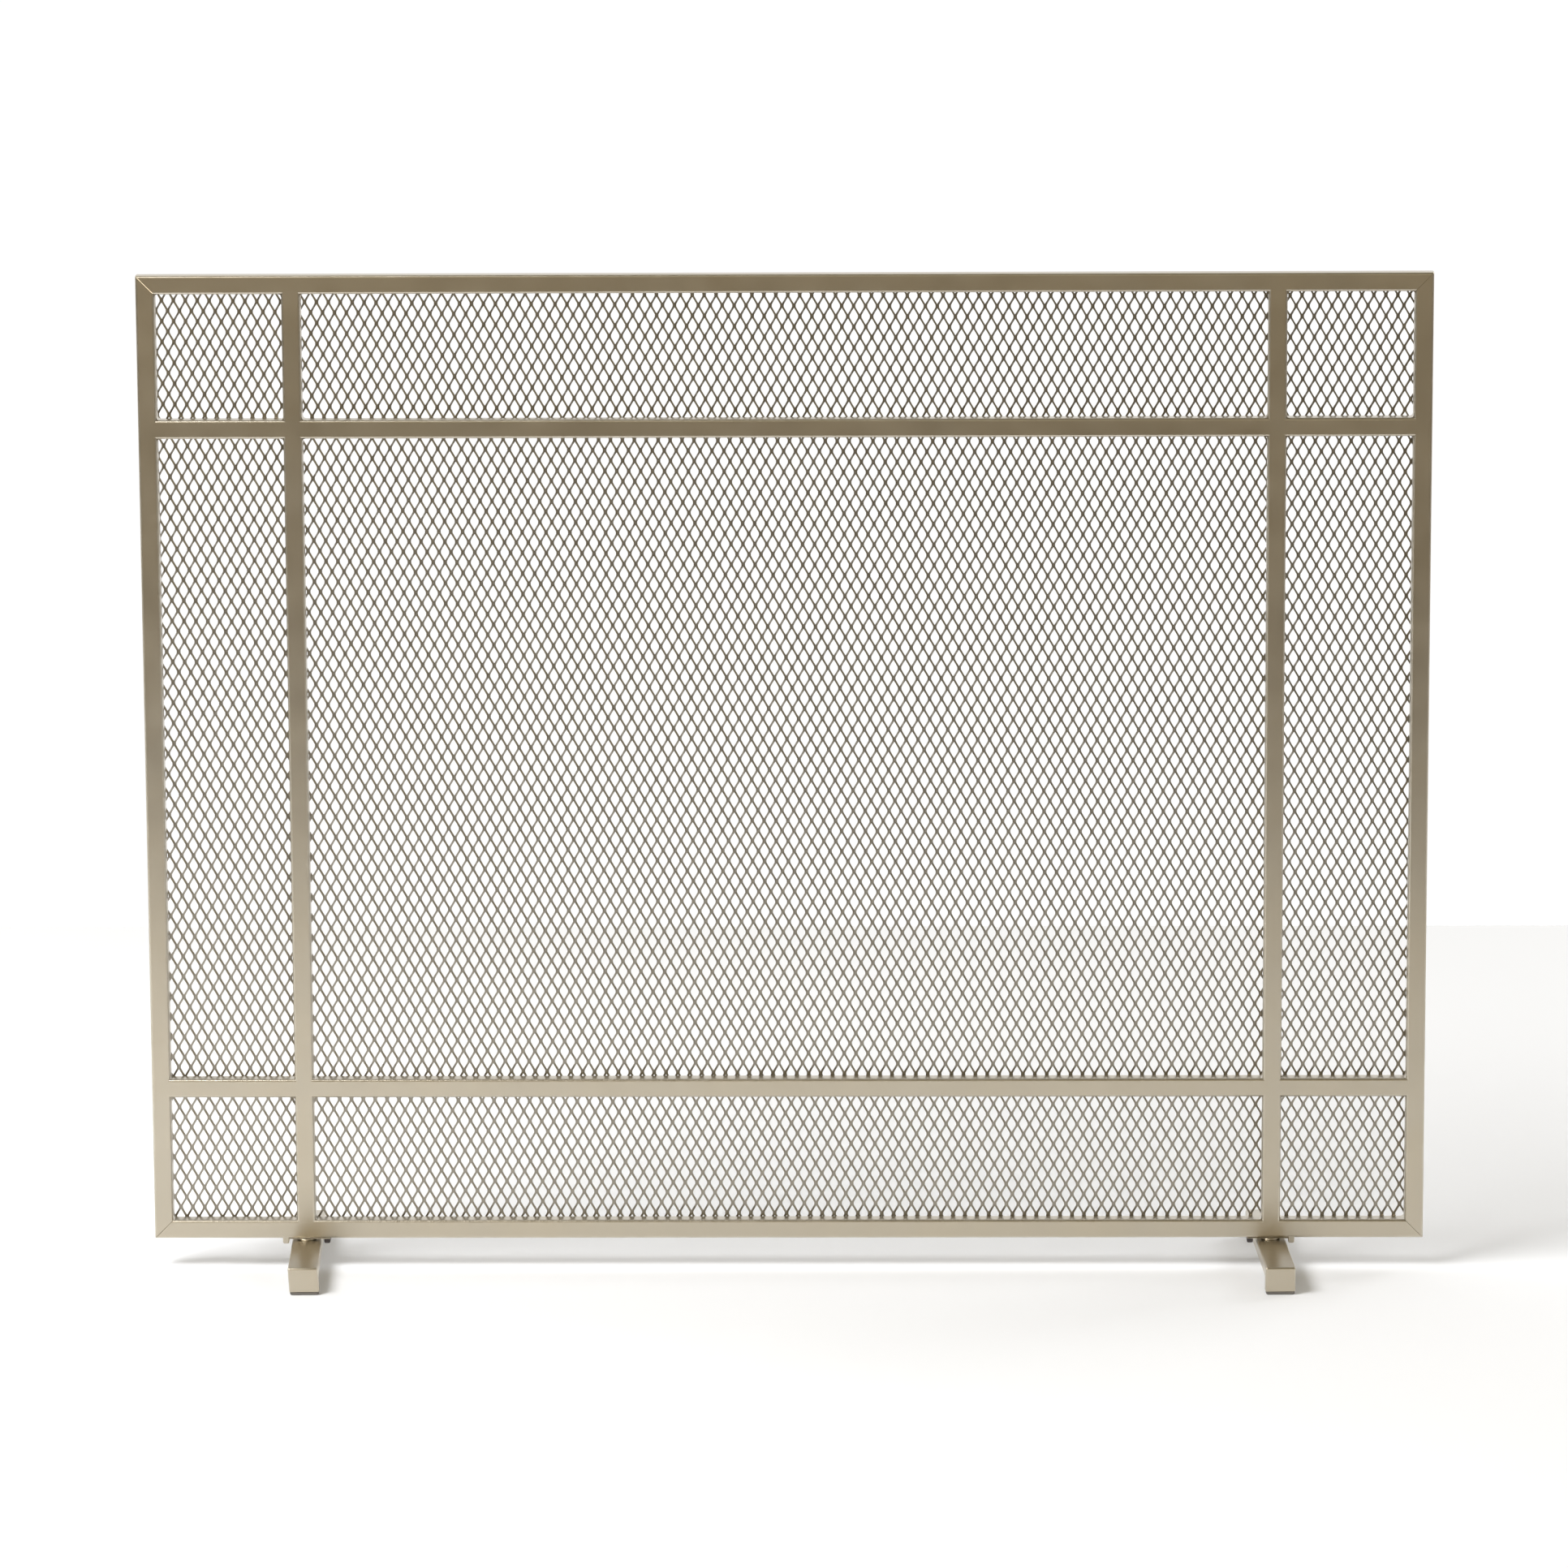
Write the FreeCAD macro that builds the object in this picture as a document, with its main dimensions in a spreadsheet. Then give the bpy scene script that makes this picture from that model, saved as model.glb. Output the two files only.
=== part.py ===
"""Free-standing fireplace screen: a flat panel of welded square tube with an expanded-metal
sheet on its back, standing on two bolted feet.

Millimetres. +Z up, the panel faces -Y, and the origin is on the floor under the panel's middle.
"""

import FreeCAD, Part
import math
import os

import Sketcher

V = FreeCAD.Vector
ORIGIN = V(0, 0, 0)
X_AXIS, Y_AXIS, Z_AXIS = V(1, 0, 0), V(0, 1, 0), V(0, 0, 1)
SAME_PLACE = 0.01  # two edges closer than this, in millimetres, are in one place

doc = FreeCAD.newDocument("fireplace_screen")

# ---------------------------------------------------------------- driving dimensions
sheet = doc.addObject("Spreadsheet::Sheet", "Dimensions")
DIMENSIONS = [
    # name, value, what it is
    ("panel_width", 965, "outside width of the tube frame"),
    ("panel_height", 737, "outside height of the tube frame"),
    ("tube", 14, "side of the square tube"),
    ("tube_wall", 1.2, "wall of the square tube"),
    ("tube_round", 1.8, "outside corner radius of the square tube"),
    ("side_bay", 94.5, "clear width between a stile and its mullion"),
    ("upper_bay", 94.5, "clear height between the top rail and the upper crossbars"),
    ("lower_bay", 96, "clear height between the lower crossbars and the bottom rail"),
    ("mesh_inset", 4, "from the frame's outer edge to the mesh sheet's edge"),
    ("mesh_thick", 1.2, "thickness of the mesh sheet"),
    ("mesh_columns", 36, "diamonds across the sheet"),
    ("mesh_rows", 16, "diamonds up the sheet"),
    ("mesh_strand", 3.6, "width of a strand, measured along X"),
    ("foot_length", 180, "length of a foot, front to back"),
    ("foot_width", 22.4, "width of a foot"),
    ("foot_top", 21, "height of a foot's top face above the floor"),
    ("foot_thick", 8, "thickness of a foot's bar and of its turned-down ends"),
    ("foot_round", 1.4, "radius along a foot's outer edges"),
    ("pad_height", 2.6, "height of a glide pad"),
    ("pad_inset", 0.4, "from a foot end's faces to its pad's faces"),
    ("pad_round", 1.2, "radius round a glide pad's lower edge"),
    ("washer_thick", 1.2, "thickness of the spacer washer on a foot"),
    ("washer_diameter", 15, "outside diameter of the spacer washer"),
    ("web_thick", 0.8, "thickness of a saddle's web"),
    ("saddle_width", 36, "outside width of a saddle"),
    ("saddle_depth", 13, "depth of a saddle, front to back"),
    ("ear_thick", 4.6, "thickness of a saddle's ears"),
    ("ear_drop", 4.2, "height of a saddle, from its top to the ends of its ears"),
    ("ear_round", 1, "radius at the lower corners of a saddle's ears"),
    ("saddle_hole", 9.8, "hole in a saddle's web, round the insert's flange"),
    ("bolt_diameter", 5.9, "shank of the foot bolt"),
    ("bolt_length", 19.5, "length of the foot bolt under its head"),
    ("bolt_head", 11, "diameter of the foot bolt's head"),
    ("bolt_head_height", 3, "height of the foot bolt's head"),
    ("hex_socket", 4, "across flats of the socket in the bolt's head"),
    ("hex_depth", 1.8, "depth of the socket in the bolt's head"),
    ("bolt_hole", 6.6, "clearance hole for the foot bolt"),
    ("insert_bore", 6, "bore of the threaded insert"),
    ("insert_body", 8, "body of the threaded insert"),
    ("insert_flange", 9.4, "flange of the threaded insert"),
    ("insert_bulge", 10.4, "upset collar of the threaded insert, inside the tube"),
    ("insert_length", 10, "length of the threaded insert above its flange"),
    ("bulge_height", 2, "height of the upset collar"),
    ("insert_hole", 8.1, "hole in the bottom rail for the insert"),
]
for row, (alias, value, meaning) in enumerate(DIMENSIONS, start=1):
    sheet.set(f"A{row}", meaning)
    sheet.set(f"B{row}", str(value))
    sheet.setAlias(f"B{row}", alias)
doc.recompute()


def dim(alias):
    """The value of a cell, for the shapes that part.py works out itself."""
    return float(getattr(sheet, alias))


def cell(alias):
    """The expression that reads a cell."""
    return f"Dimensions.{alias}"


# ---------------------------------------------------------------- heights and places used in expressions
RAIL_BOTTOM = "(Dimensions.foot_top + Dimensions.washer_thick + Dimensions.web_thick)"
PANEL_TOP = f"({RAIL_BOTTOM} + Dimensions.panel_height)"
HALF_TUBE = "(Dimensions.tube / 2)"
STILE_X = f"(Dimensions.panel_width / 2 - {HALF_TUBE})"
MULLION_X = f"(Dimensions.panel_width / 2 - Dimensions.tube - Dimensions.side_bay - {HALF_TUBE})"
MULLION_LENGTH = "(Dimensions.panel_height - 2 * Dimensions.tube)"
CENTRE_BAY = f"(2 * {MULLION_X} - Dimensions.tube)"
UPPER_Z = f"({PANEL_TOP} - Dimensions.tube - Dimensions.upper_bay - {HALF_TUBE})"
LOWER_Z = f"({RAIL_BOTTOM} + Dimensions.tube + Dimensions.lower_bay + {HALF_TUBE})"
SIDE_BAY_X = "(Dimensions.panel_width / 2 - Dimensions.tube - Dimensions.side_bay / 2)"

PIECES = []  # every sub-part, in the order in which its file is written


def keep(piece, label, x="0", y="0", z="0", axis=Z_AXIS, angle=0):
    """Name a sub-part and place it, with its position bound to the sheet."""
    piece.Label = label
    piece.Placement = FreeCAD.Placement(ORIGIN, FreeCAD.Rotation(axis, angle))
    for name, expression in (("x", x), ("y", y), ("z", z)):
        piece.setExpression(f"Placement.Base.{name}", expression)
    PIECES.append(piece)
    return piece


# ---------------------------------------------------------------- sketch helpers
def new_body(name):
    return doc.addObject("PartDesign::Body", name)


def sketch_on(body, role, name, offset=None):
    """A sketch on one of the body's own origin planes. offset is an expression along its normal."""
    sketch = body.newObject("Sketcher::SketchObject", name)
    plane = next(f for f in body.Origin.OriginFeatures if f.Role == role)
    sketch.AttachmentSupport = [(plane, "")]
    sketch.MapMode = "FlatFace"
    if offset:
        sketch.setExpression("AttachmentOffset.Base.z", offset)
    return sketch


def bind(sketch, kind, *args):
    """Add a dimension and bind it to an expression, which is the last argument."""
    *where, start, expression = args
    index = sketch.addConstraint(Sketcher.Constraint(kind, *where, start))
    sketch.setExpression(f"Constraints[{index}]", expression)
    return index


def closed_outline(sketch, points):
    """Straight lines through the points, joined end to end. Returns the first line's index."""
    first = sketch.GeometryCount
    count = len(points)
    for i in range(count):
        start, end = points[i], points[(i + 1) % count]
        sketch.addGeometry(Part.LineSegment(V(*start, 0), V(*end, 0)))
    for i in range(count):
        joint = Sketcher.Constraint("Coincident", first + i, 2, first + (i + 1) % count, 1)
        sketch.addConstraint(joint)
    return first


def centred_rectangle(sketch, wide, high, wide_is, high_is):
    """A rectangle centred on the sketch's origin, with its sides bound to expressions."""
    x, y = wide / 2, high / 2
    first = closed_outline(sketch, [(-x, -y), (x, -y), (x, y), (-x, y)])
    for line, kind in ((0, "Horizontal"), (1, "Vertical"), (2, "Horizontal"), (3, "Vertical")):
        sketch.addConstraint(Sketcher.Constraint(kind, first + line))
    sketch.addConstraint(Sketcher.Constraint("Symmetric", first, 1, first + 2, 1, -1, 1))
    bind(sketch, "DistanceX", first, 1, first, 2, wide, wide_is)
    bind(sketch, "DistanceY", first + 1, 1, first + 1, 2, high, high_is)
    return first


def circle(sketch, radius, radius_is, x=0.0, y=0.0):
    """A circle bound to an expression, centred on the sketch's origin or at x, y."""
    index = sketch.addGeometry(Part.Circle(V(x, y, 0), Z_AXIS, radius))
    if x == 0 and y == 0:
        sketch.addConstraint(Sketcher.Constraint("Coincident", index, 3, -1, 1))
    bind(sketch, "Radius", index, radius, radius_is)
    return index


def pad(body, sketch, length_is, midplane=False):
    feature = body.newObject("PartDesign::Pad", f"{body.Name}_pad")
    feature.Profile = sketch
    feature.setExpression("Length", length_is)
    feature.Midplane = midplane
    doc.recompute()
    return feature


def pocket_through(body, sketch):
    """A pocket through everything, both ways, which has to take some material away."""
    before = body.Shape.Volume
    feature = body.newObject("PartDesign::Pocket", f"{sketch.Name}_pocket")
    feature.Profile = sketch
    feature.SideType = "Two sides"
    feature.Type = "ThroughAll"
    feature.Type2 = "ThroughAll"
    doc.recompute()
    if not body.Shape.Volume < before:
        raise RuntimeError(f"{feature.Name} cuts nothing")
    return feature


def fillet(body, base, chosen, radius_is, name):
    """Round the edges of base that chosen(edge) picks."""
    names = [f"Edge{i}" for i, e in enumerate(base.Shape.Edges, start=1) if chosen(e)]
    if not names:
        raise RuntimeError(f"{name} finds no edges")
    feature = body.newObject("PartDesign::Fillet", name)
    feature.Base = (base, names)
    feature.setExpression("Radius", radius_is)
    doc.recompute()
    return feature


def runs_along(edge, axis):
    """True for a straight edge parallel to axis."""
    if not isinstance(edge.Curve, Part.Line):
        return False
    return abs(edge.Curve.Direction.dot(axis)) > 0.999


# ---------------------------------------------------------------- square tube
def tube_body(name, role, axis, length_is):
    """Square tube centred on its body's origin and running along axis."""
    body = new_body(name)
    section = sketch_on(body, role, f"{name}_section")
    centred_rectangle(section, dim("tube"), dim("tube"), cell("tube"), cell("tube"))
    solid = pad(body, section, length_is, midplane=True)
    outside = fillet(body, solid, lambda e: runs_along(e, axis), cell("tube_round"), f"{name}_round")
    bore = sketch_on(body, role, f"{name}_bore")
    inner = "Dimensions.tube - 2 * Dimensions.tube_wall"
    width = dim("tube") - 2 * dim("tube_wall")
    centred_rectangle(bore, width, width, inner, inner)
    pocket_through(body, bore)
    return body


def mitre_ends(body, name, length, length_is, frame_side):
    """Cut both ends of a tube along X at 45 degrees. frame_side is +1 where the tube's upper face
    is its long one and -1 where its lower face is."""
    cut = sketch_on(body, "XZ_Plane", f"{name}_mitres")
    half, side = length / 2, dim("tube") / 2
    for end in (-1, 1):
        corner = (end * half, frame_side * side)
        inner = (end * (half - 2 * side), -frame_side * side)
        outer = (end * half, -frame_side * side)
        first = closed_outline(cut, [corner, inner, outer])
        cut.addConstraint(Sketcher.Constraint("Horizontal", first + 1))
        cut.addConstraint(Sketcher.Constraint("Vertical", first + 2))
        cut.addConstraint(Sketcher.Constraint("Equal", first + 1, first + 2))
        reach = f"{length_is} / 2"
        if end > 0:
            bind(cut, "DistanceX", -1, 1, first, 1, half, reach)
        else:
            bind(cut, "DistanceX", first, 1, -1, 1, half, reach)
        if frame_side > 0:
            bind(cut, "DistanceY", -1, 1, first, 1, side, HALF_TUBE)
            bind(cut, "DistanceY", first + 2, 1, first + 2, 2, 2 * side, cell("tube"))
        else:
            bind(cut, "DistanceY", first, 1, -1, 1, side, HALF_TUBE)
            bind(cut, "DistanceY", first + 2, 2, first + 2, 1, 2 * side, cell("tube"))
    pocket_through(body, cut)


def frame_rail(name, length, length_is, frame_side):
    body = tube_body(name, "YZ_Plane", X_AXIS, length_is)
    mitre_ends(body, name, length, length_is, frame_side)
    return body


def frame_stile(name):
    """A stile is the same mitred tube, stood on end when it is placed."""
    return frame_rail(name, dim("panel_height"), cell("panel_height"), 1)


def make_outer_frame():
    width, width_is = dim("panel_width"), cell("panel_width")
    keep(frame_rail("top_rail", width, width_is, 1), "top_rail", z=f"{PANEL_TOP} - {HALF_TUBE}")
    bottom = frame_rail("bottom_rail", width, width_is, -1)
    drill_for_inserts(bottom)
    keep(bottom, "bottom_rail", z=f"{RAIL_BOTTOM} + {HALF_TUBE}")
    middle = f"{RAIL_BOTTOM} + Dimensions.panel_height / 2"
    for side, label in ((-1, "left_stile"), (1, "right_stile")):
        x = f"{side} * {STILE_X}"
        keep(frame_stile(label), label, x=x, z=middle, axis=Y_AXIS, angle=side * 90)


def drill_for_inserts(body):
    """Two holes in the bottom rail's lower wall, one under each mullion."""
    holes = sketch_on(body, "XY_Plane", "insert_holes")
    radius = dim("insert_hole") / 2
    reach = dim("panel_width") / 2 - dim("tube") - dim("side_bay") - dim("tube") / 2
    for side in (-1, 1):
        hole = circle(holes, radius, "Dimensions.insert_hole / 2", x=side * reach)
        holes.addConstraint(Sketcher.Constraint("PointOnObject", hole, 3, -1))
        ends = (-1, 1, hole, 3) if side > 0 else (hole, 3, -1, 1)
        bind(holes, "DistanceX", *ends, reach, MULLION_X)
    before = body.Shape.Volume
    feature = body.newObject("PartDesign::Pocket", "insert_holes_pocket")
    feature.Profile = holes
    feature.setExpression("Length", cell("tube"))
    doc.recompute()
    if not body.Shape.Volume < before:
        raise RuntimeError("the insert holes cut nothing")


def make_mullions():
    for side, label in ((-1, "left_mullion"), (1, "right_mullion")):
        body = tube_body(label, "XY_Plane", Z_AXIS, MULLION_LENGTH)
        middle = f"{RAIL_BOTTOM} + Dimensions.panel_height / 2"
        keep(body, label, x=f"{side} * {MULLION_X}", z=middle)


def make_crossbars():
    """Each crossbar is three lengths of tube, butted between the stiles and the mullions."""
    bays = (("left", f"-{SIDE_BAY_X}", cell("side_bay")), ("centre", "0", CENTRE_BAY))
    bays += (("right", SIDE_BAY_X, cell("side_bay")),)
    for level, z in (("upper", UPPER_Z), ("lower", LOWER_Z)):
        for bay, x, length_is in bays:
            label = f"{level}_{bay}_crossbar"
            keep(tube_body(label, "YZ_Plane", X_AXIS, length_is), label, x=x, z=z)


# ---------------------------------------------------------------- expanded-metal sheet
def diamond(x, z, half_width, half_height):
    """A diamond-shaped opening, wound the other way round from the sheet's outline."""
    corners = [V(x - half_width, 0, z), V(x, 0, z + half_height)]
    corners += [V(x + half_width, 0, z), V(x, 0, z - half_height)]
    return Part.makePolygon(corners + corners[:1])


def make_mesh_sheet():
    """One flat sheet pierced by staggered diamonds, against the frame's back faces."""
    width = dim("panel_width") - 2 * dim("mesh_inset")
    height = dim("panel_height") - 2 * dim("mesh_inset")
    columns, rows = int(dim("mesh_columns")), int(dim("mesh_rows"))
    pitch_x, pitch_z = width / columns, height / rows
    strand = dim("mesh_strand")
    half_width = (pitch_x - strand) / 2
    half_height = half_width * pitch_z / pitch_x
    x0, x1 = -width / 2, width / 2
    outline = Part.makePolygon([V(x0, 0, 0), V(x1, 0, 0), V(x1, 0, height), V(x0, 0, height), V(x0, 0, 0)])
    openings = []
    for row in range(2 * rows - 1):
        staggered = row % 2
        z = (row + 1) * pitch_z / 2
        for column in range(columns - staggered):
            x = x0 + pitch_x * (column + 0.5 + staggered / 2)
            openings.append(diamond(x, z, half_width, half_height))
    face = Part.Face([outline] + openings)
    piece = doc.addObject("Part::Feature", "mesh_sheet")
    piece.Shape = face.extrude(V(0, dim("mesh_thick"), 0))
    keep(piece, "mesh_sheet", y=HALF_TUBE, z=f"{RAIL_BOTTOM} + Dimensions.mesh_inset")


# ---------------------------------------------------------------- feet
def foot_outline(sketch):
    """Side view of a foot: a level bar whose two ends turn down to the pads."""
    half, top = dim("foot_length") / 2, dim("foot_top")
    low, thick = dim("pad_height"), dim("foot_thick")
    points = [(-half, low), (-half + thick, low), (-half + thick, top - thick)]
    points += [(half - thick, top - thick), (half - thick, low), (half, low), (half, top), (-half, top)]
    first = closed_outline(sketch, points)
    for line in (0, 2, 4, 6):
        sketch.addConstraint(Sketcher.Constraint("Horizontal", first + line))
    for line in (1, 3, 5, 7):
        sketch.addConstraint(Sketcher.Constraint("Vertical", first + line))
    sketch.addConstraint(Sketcher.Constraint("Symmetric", first, 1, first + 4, 2, -2))
    bind(sketch, "DistanceX", first, 1, first + 4, 2, 2 * half, cell("foot_length"))
    bind(sketch, "DistanceX", first, 1, first, 2, thick, cell("foot_thick"))
    bind(sketch, "DistanceX", first + 4, 1, first + 4, 2, thick, cell("foot_thick"))
    bind(sketch, "DistanceY", -1, 1, first, 1, low, cell("pad_height"))
    bind(sketch, "DistanceY", -1, 1, first + 6, 2, top, cell("foot_top"))
    bind(sketch, "DistanceY", first + 2, 2, first + 6, 1, thick, cell("foot_thick"))


def make_foot(name):
    """A bent flat bar, rounded along its edges, with one bolt hole in its middle."""
    body = new_body(name)
    side = sketch_on(body, "YZ_Plane", f"{name}_side")
    foot_outline(side)
    bar = pad(body, side, cell("foot_width"), midplane=True)
    top, low, half = dim("foot_top"), dim("pad_height"), dim("foot_length") / 2

    def outer_long_edge(edge):
        middle = edge.CenterOfMass
        on_top = runs_along(edge, Y_AXIS) and abs(middle.z - top) < SAME_PLACE
        on_end = runs_along(edge, Z_AXIS) and abs(abs(middle.y) - half) < SAME_PLACE
        at_bend = runs_along(edge, X_AXIS) and abs(middle.z - top) < SAME_PLACE
        return on_top or on_end or at_bend

    fillet(body, bar, outer_long_edge, cell("foot_round"), f"{name}_round")
    hole = sketch_on(body, "XY_Plane", f"{name}_hole")
    circle(hole, dim("bolt_hole") / 2, "Dimensions.bolt_hole / 2")
    pocket_through(body, hole)
    return body


def make_pad(name):
    """A moulded glide under one end of a foot, with its lower edge rounded."""
    body = new_body(name)
    plan = sketch_on(body, "XY_Plane", f"{name}_plan")
    wide, deep = dim("foot_width") - 2 * dim("pad_inset"), dim("foot_thick") - 2 * dim("pad_inset")
    wide_is = "Dimensions.foot_width - 2 * Dimensions.pad_inset"
    deep_is = "Dimensions.foot_thick - 2 * Dimensions.pad_inset"
    centred_rectangle(plan, wide, deep, wide_is, deep_is)
    block = pad(body, plan, cell("pad_height"))
    uprights = fillet(body, block, lambda e: runs_along(e, Z_AXIS), cell("foot_round"), f"{name}_corners")
    fillet(
        body,
        uprights,
        lambda e: e.BoundBox.ZMax < SAME_PLACE,
        cell("pad_round"),
        f"{name}_lower_edge",
    )
    return body


def make_washer(name):
    body = new_body(name)
    ring = sketch_on(body, "XY_Plane", f"{name}_ring")
    circle(ring, dim("washer_diameter") / 2, "Dimensions.washer_diameter / 2")
    circle(ring, dim("bolt_hole") / 2, "Dimensions.bolt_hole / 2")
    pad(body, ring, cell("washer_thick"))
    return body


def make_saddle(name):
    """A bracket under the rail whose two ears stop the foot from swinging round its bolt."""
    body = new_body(name)
    front = sketch_on(body, "XZ_Plane", f"{name}_front")
    half, web = dim("saddle_width") / 2, dim("web_thick")
    ear, drop = dim("ear_thick"), dim("ear_drop")
    points = [(-half, 0), (-half, -drop), (-half + ear, -drop), (-half + ear, -web)]
    points += [(half - ear, -web), (half - ear, -drop), (half, -drop), (half, 0)]
    first = closed_outline(front, points)
    for line in (1, 3, 5, 7):
        front.addConstraint(Sketcher.Constraint("Horizontal", first + line))
    for line in (0, 2, 4, 6):
        front.addConstraint(Sketcher.Constraint("Vertical", first + line))
    front.addConstraint(Sketcher.Constraint("Symmetric", first, 1, first + 6, 2, -1, 1))
    bind(front, "DistanceX", first, 1, first + 6, 2, 2 * half, cell("saddle_width"))
    bind(front, "DistanceX", first + 1, 1, first + 1, 2, ear, cell("ear_thick"))
    bind(front, "DistanceX", first + 5, 1, first + 5, 2, ear, cell("ear_thick"))
    bind(front, "DistanceY", first, 2, first, 1, drop, cell("ear_drop"))
    bind(front, "DistanceY", first + 2, 2, -1, 1, web, cell("web_thick"))
    bind(front, "DistanceY", first + 6, 1, first + 6, 2, drop, cell("ear_drop"))
    plate = pad(body, front, cell("saddle_depth"), midplane=True)

    def ear_corner(edge):
        return runs_along(edge, Y_AXIS) and abs(edge.CenterOfMass.z + drop) < SAME_PLACE

    fillet(body, plate, ear_corner, cell("ear_round"), f"{name}_ear_round")
    hole = sketch_on(body, "XY_Plane", f"{name}_hole")
    circle(hole, dim("saddle_hole") / 2, "Dimensions.saddle_hole / 2")
    pocket_through(body, hole)
    return body


def revolved(name, points, expressions):
    """A solid of revolution about Z. points are the half section's corners as (radius, height), and
    expressions are the same corners' values bound to the sheet."""
    body = new_body(name)
    section = sketch_on(body, "XZ_Plane", f"{name}_section")
    first = closed_outline(section, points)
    for i, ((radius, height), (radius_is, height_is)) in enumerate(zip(points, expressions)):
        for kind, value, value_is in (("DistanceX", radius, radius_is), ("DistanceY", height, height_is)):
            if value == 0:
                line = -2 if kind == "DistanceX" else -1
                section.addConstraint(Sketcher.Constraint("PointOnObject", first + i, 1, line))
            elif value > 0:
                bind(section, kind, -1, 1, first + i, 1, value, value_is)
            else:
                bind(section, kind, first + i, 1, -1, 1, -value, value_is)
    feature = body.newObject("PartDesign::Revolution", f"{name}_turned")
    feature.Profile = section
    feature.ReferenceAxis = (section, ["V_Axis"])
    feature.Angle = 360
    doc.recompute()
    return body


def make_insert(name):
    """A rivet nut: flange below the rail's wall, upset collar above it, threaded body in the tube."""
    bore, outer = "Dimensions.insert_bore / 2", "Dimensions.insert_body / 2"
    flange, bulge = "Dimensions.insert_flange / 2", "Dimensions.insert_bulge / 2"
    wall, web = cell("tube_wall"), cell("web_thick")
    collar_top = "Dimensions.tube_wall + Dimensions.bulge_height"
    length = cell("insert_length")
    bore_r, outer_r = dim("insert_bore") / 2, dim("insert_body") / 2
    flange_r, bulge_r = dim("insert_flange") / 2, dim("insert_bulge") / 2
    collar = dim("tube_wall") + dim("bulge_height")
    points = [(bore_r, -dim("web_thick")), (flange_r, -dim("web_thick")), (flange_r, 0), (outer_r, 0)]
    points += [(outer_r, dim("tube_wall")), (bulge_r, dim("tube_wall")), (bulge_r, collar)]
    points += [(outer_r, collar), (outer_r, dim("insert_length")), (bore_r, dim("insert_length"))]
    expressions = [(bore, web), (flange, web), (flange, "0"), (outer, "0")]
    expressions += [(outer, wall), (bulge, wall), (bulge, collar_top)]
    expressions += [(outer, collar_top), (outer, length), (bore, length)]
    return revolved(name, points, expressions)


def make_bolt(name):
    """A pan-head bolt, head down, with a hexagon socket in the head."""
    head, shank = "Dimensions.bolt_head / 2", "Dimensions.bolt_diameter / 2"
    height, length = cell("bolt_head_height"), cell("bolt_length")
    points = [(0, -dim("bolt_head_height")), (dim("bolt_head") / 2, -dim("bolt_head_height"))]
    points += [(dim("bolt_head") / 2, 0), (dim("bolt_diameter") / 2, 0)]
    points += [(dim("bolt_diameter") / 2, dim("bolt_length")), (0, dim("bolt_length"))]
    expressions = [("0", height), (head, height), (head, "0"), (shank, "0"), (shank, length), ("0", length)]
    body = revolved(name, points, expressions)
    edge_of_head = fillet(
        body,
        body.Tip,
        lambda e: isinstance(e.Curve, Part.Circle) and e.BoundBox.ZMax < -SAME_PLACE,
        "Dimensions.bolt_head_height / 2",
        f"{name}_dome",
    )
    socket = sketch_on(body, "XY_Plane", f"{name}_socket", offset="-Dimensions.bolt_head_height")
    across_corners = dim("hex_socket") / math.sqrt(3)
    turns = [math.radians(60 * i) for i in range(6)]
    corners = [(across_corners * math.cos(a), across_corners * math.sin(a)) for a in turns]
    first = closed_outline(socket, corners)
    ring = socket.addGeometry(Part.Circle(ORIGIN, Z_AXIS, across_corners), True)
    socket.addConstraint(Sketcher.Constraint("Coincident", ring, 3, -1, 1))
    for i in range(6):
        socket.addConstraint(Sketcher.Constraint("PointOnObject", first + i, 1, ring))
    for i in range(1, 6):
        socket.addConstraint(Sketcher.Constraint("Equal", first, first + i))
    socket.addConstraint(Sketcher.Constraint("PointOnObject", first, 1, -1))
    bind(socket, "Radius", ring, across_corners, "Dimensions.hex_socket / 3 ^ 0.5")
    before = edge_of_head.Shape.Volume
    cut = body.newObject("PartDesign::Pocket", f"{name}_socket_pocket")
    cut.Profile = socket
    cut.setExpression("Length", cell("hex_depth"))
    cut.Reversed = True
    doc.recompute()
    if not body.Shape.Volume < before:
        raise RuntimeError("the bolt's socket cuts nothing")
    return body


def make_feet():
    """Both feet, each with its pads, washer, saddle, insert and bolt, under its mullion."""
    pad_y = "(Dimensions.foot_length / 2 - Dimensions.foot_thick / 2)"
    web_top = RAIL_BOTTOM
    for side, name in ((-1, "left"), (1, "right")):
        x = f"{side} * {MULLION_X}"
        keep(make_foot(f"{name}_foot"), f"{name}_foot", x=x)
        for end, where in ((-1, "front"), (1, "rear")):
            label = f"{name}_{where}_pad"
            keep(make_pad(label), label, x=x, y=f"{end} * {pad_y}")
        keep(make_washer(f"{name}_spacer_washer"), f"{name}_spacer_washer", x=x, z=cell("foot_top"))
        keep(make_saddle(f"{name}_saddle"), f"{name}_saddle", x=x, z=web_top)
        keep(make_insert(f"{name}_threaded_insert"), f"{name}_threaded_insert", x=x, z=web_top)
        under_foot = "Dimensions.foot_top - Dimensions.foot_thick"
        keep(make_bolt(f"{name}_foot_bolt"), f"{name}_foot_bolt", x=x, z=under_foot)


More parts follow.
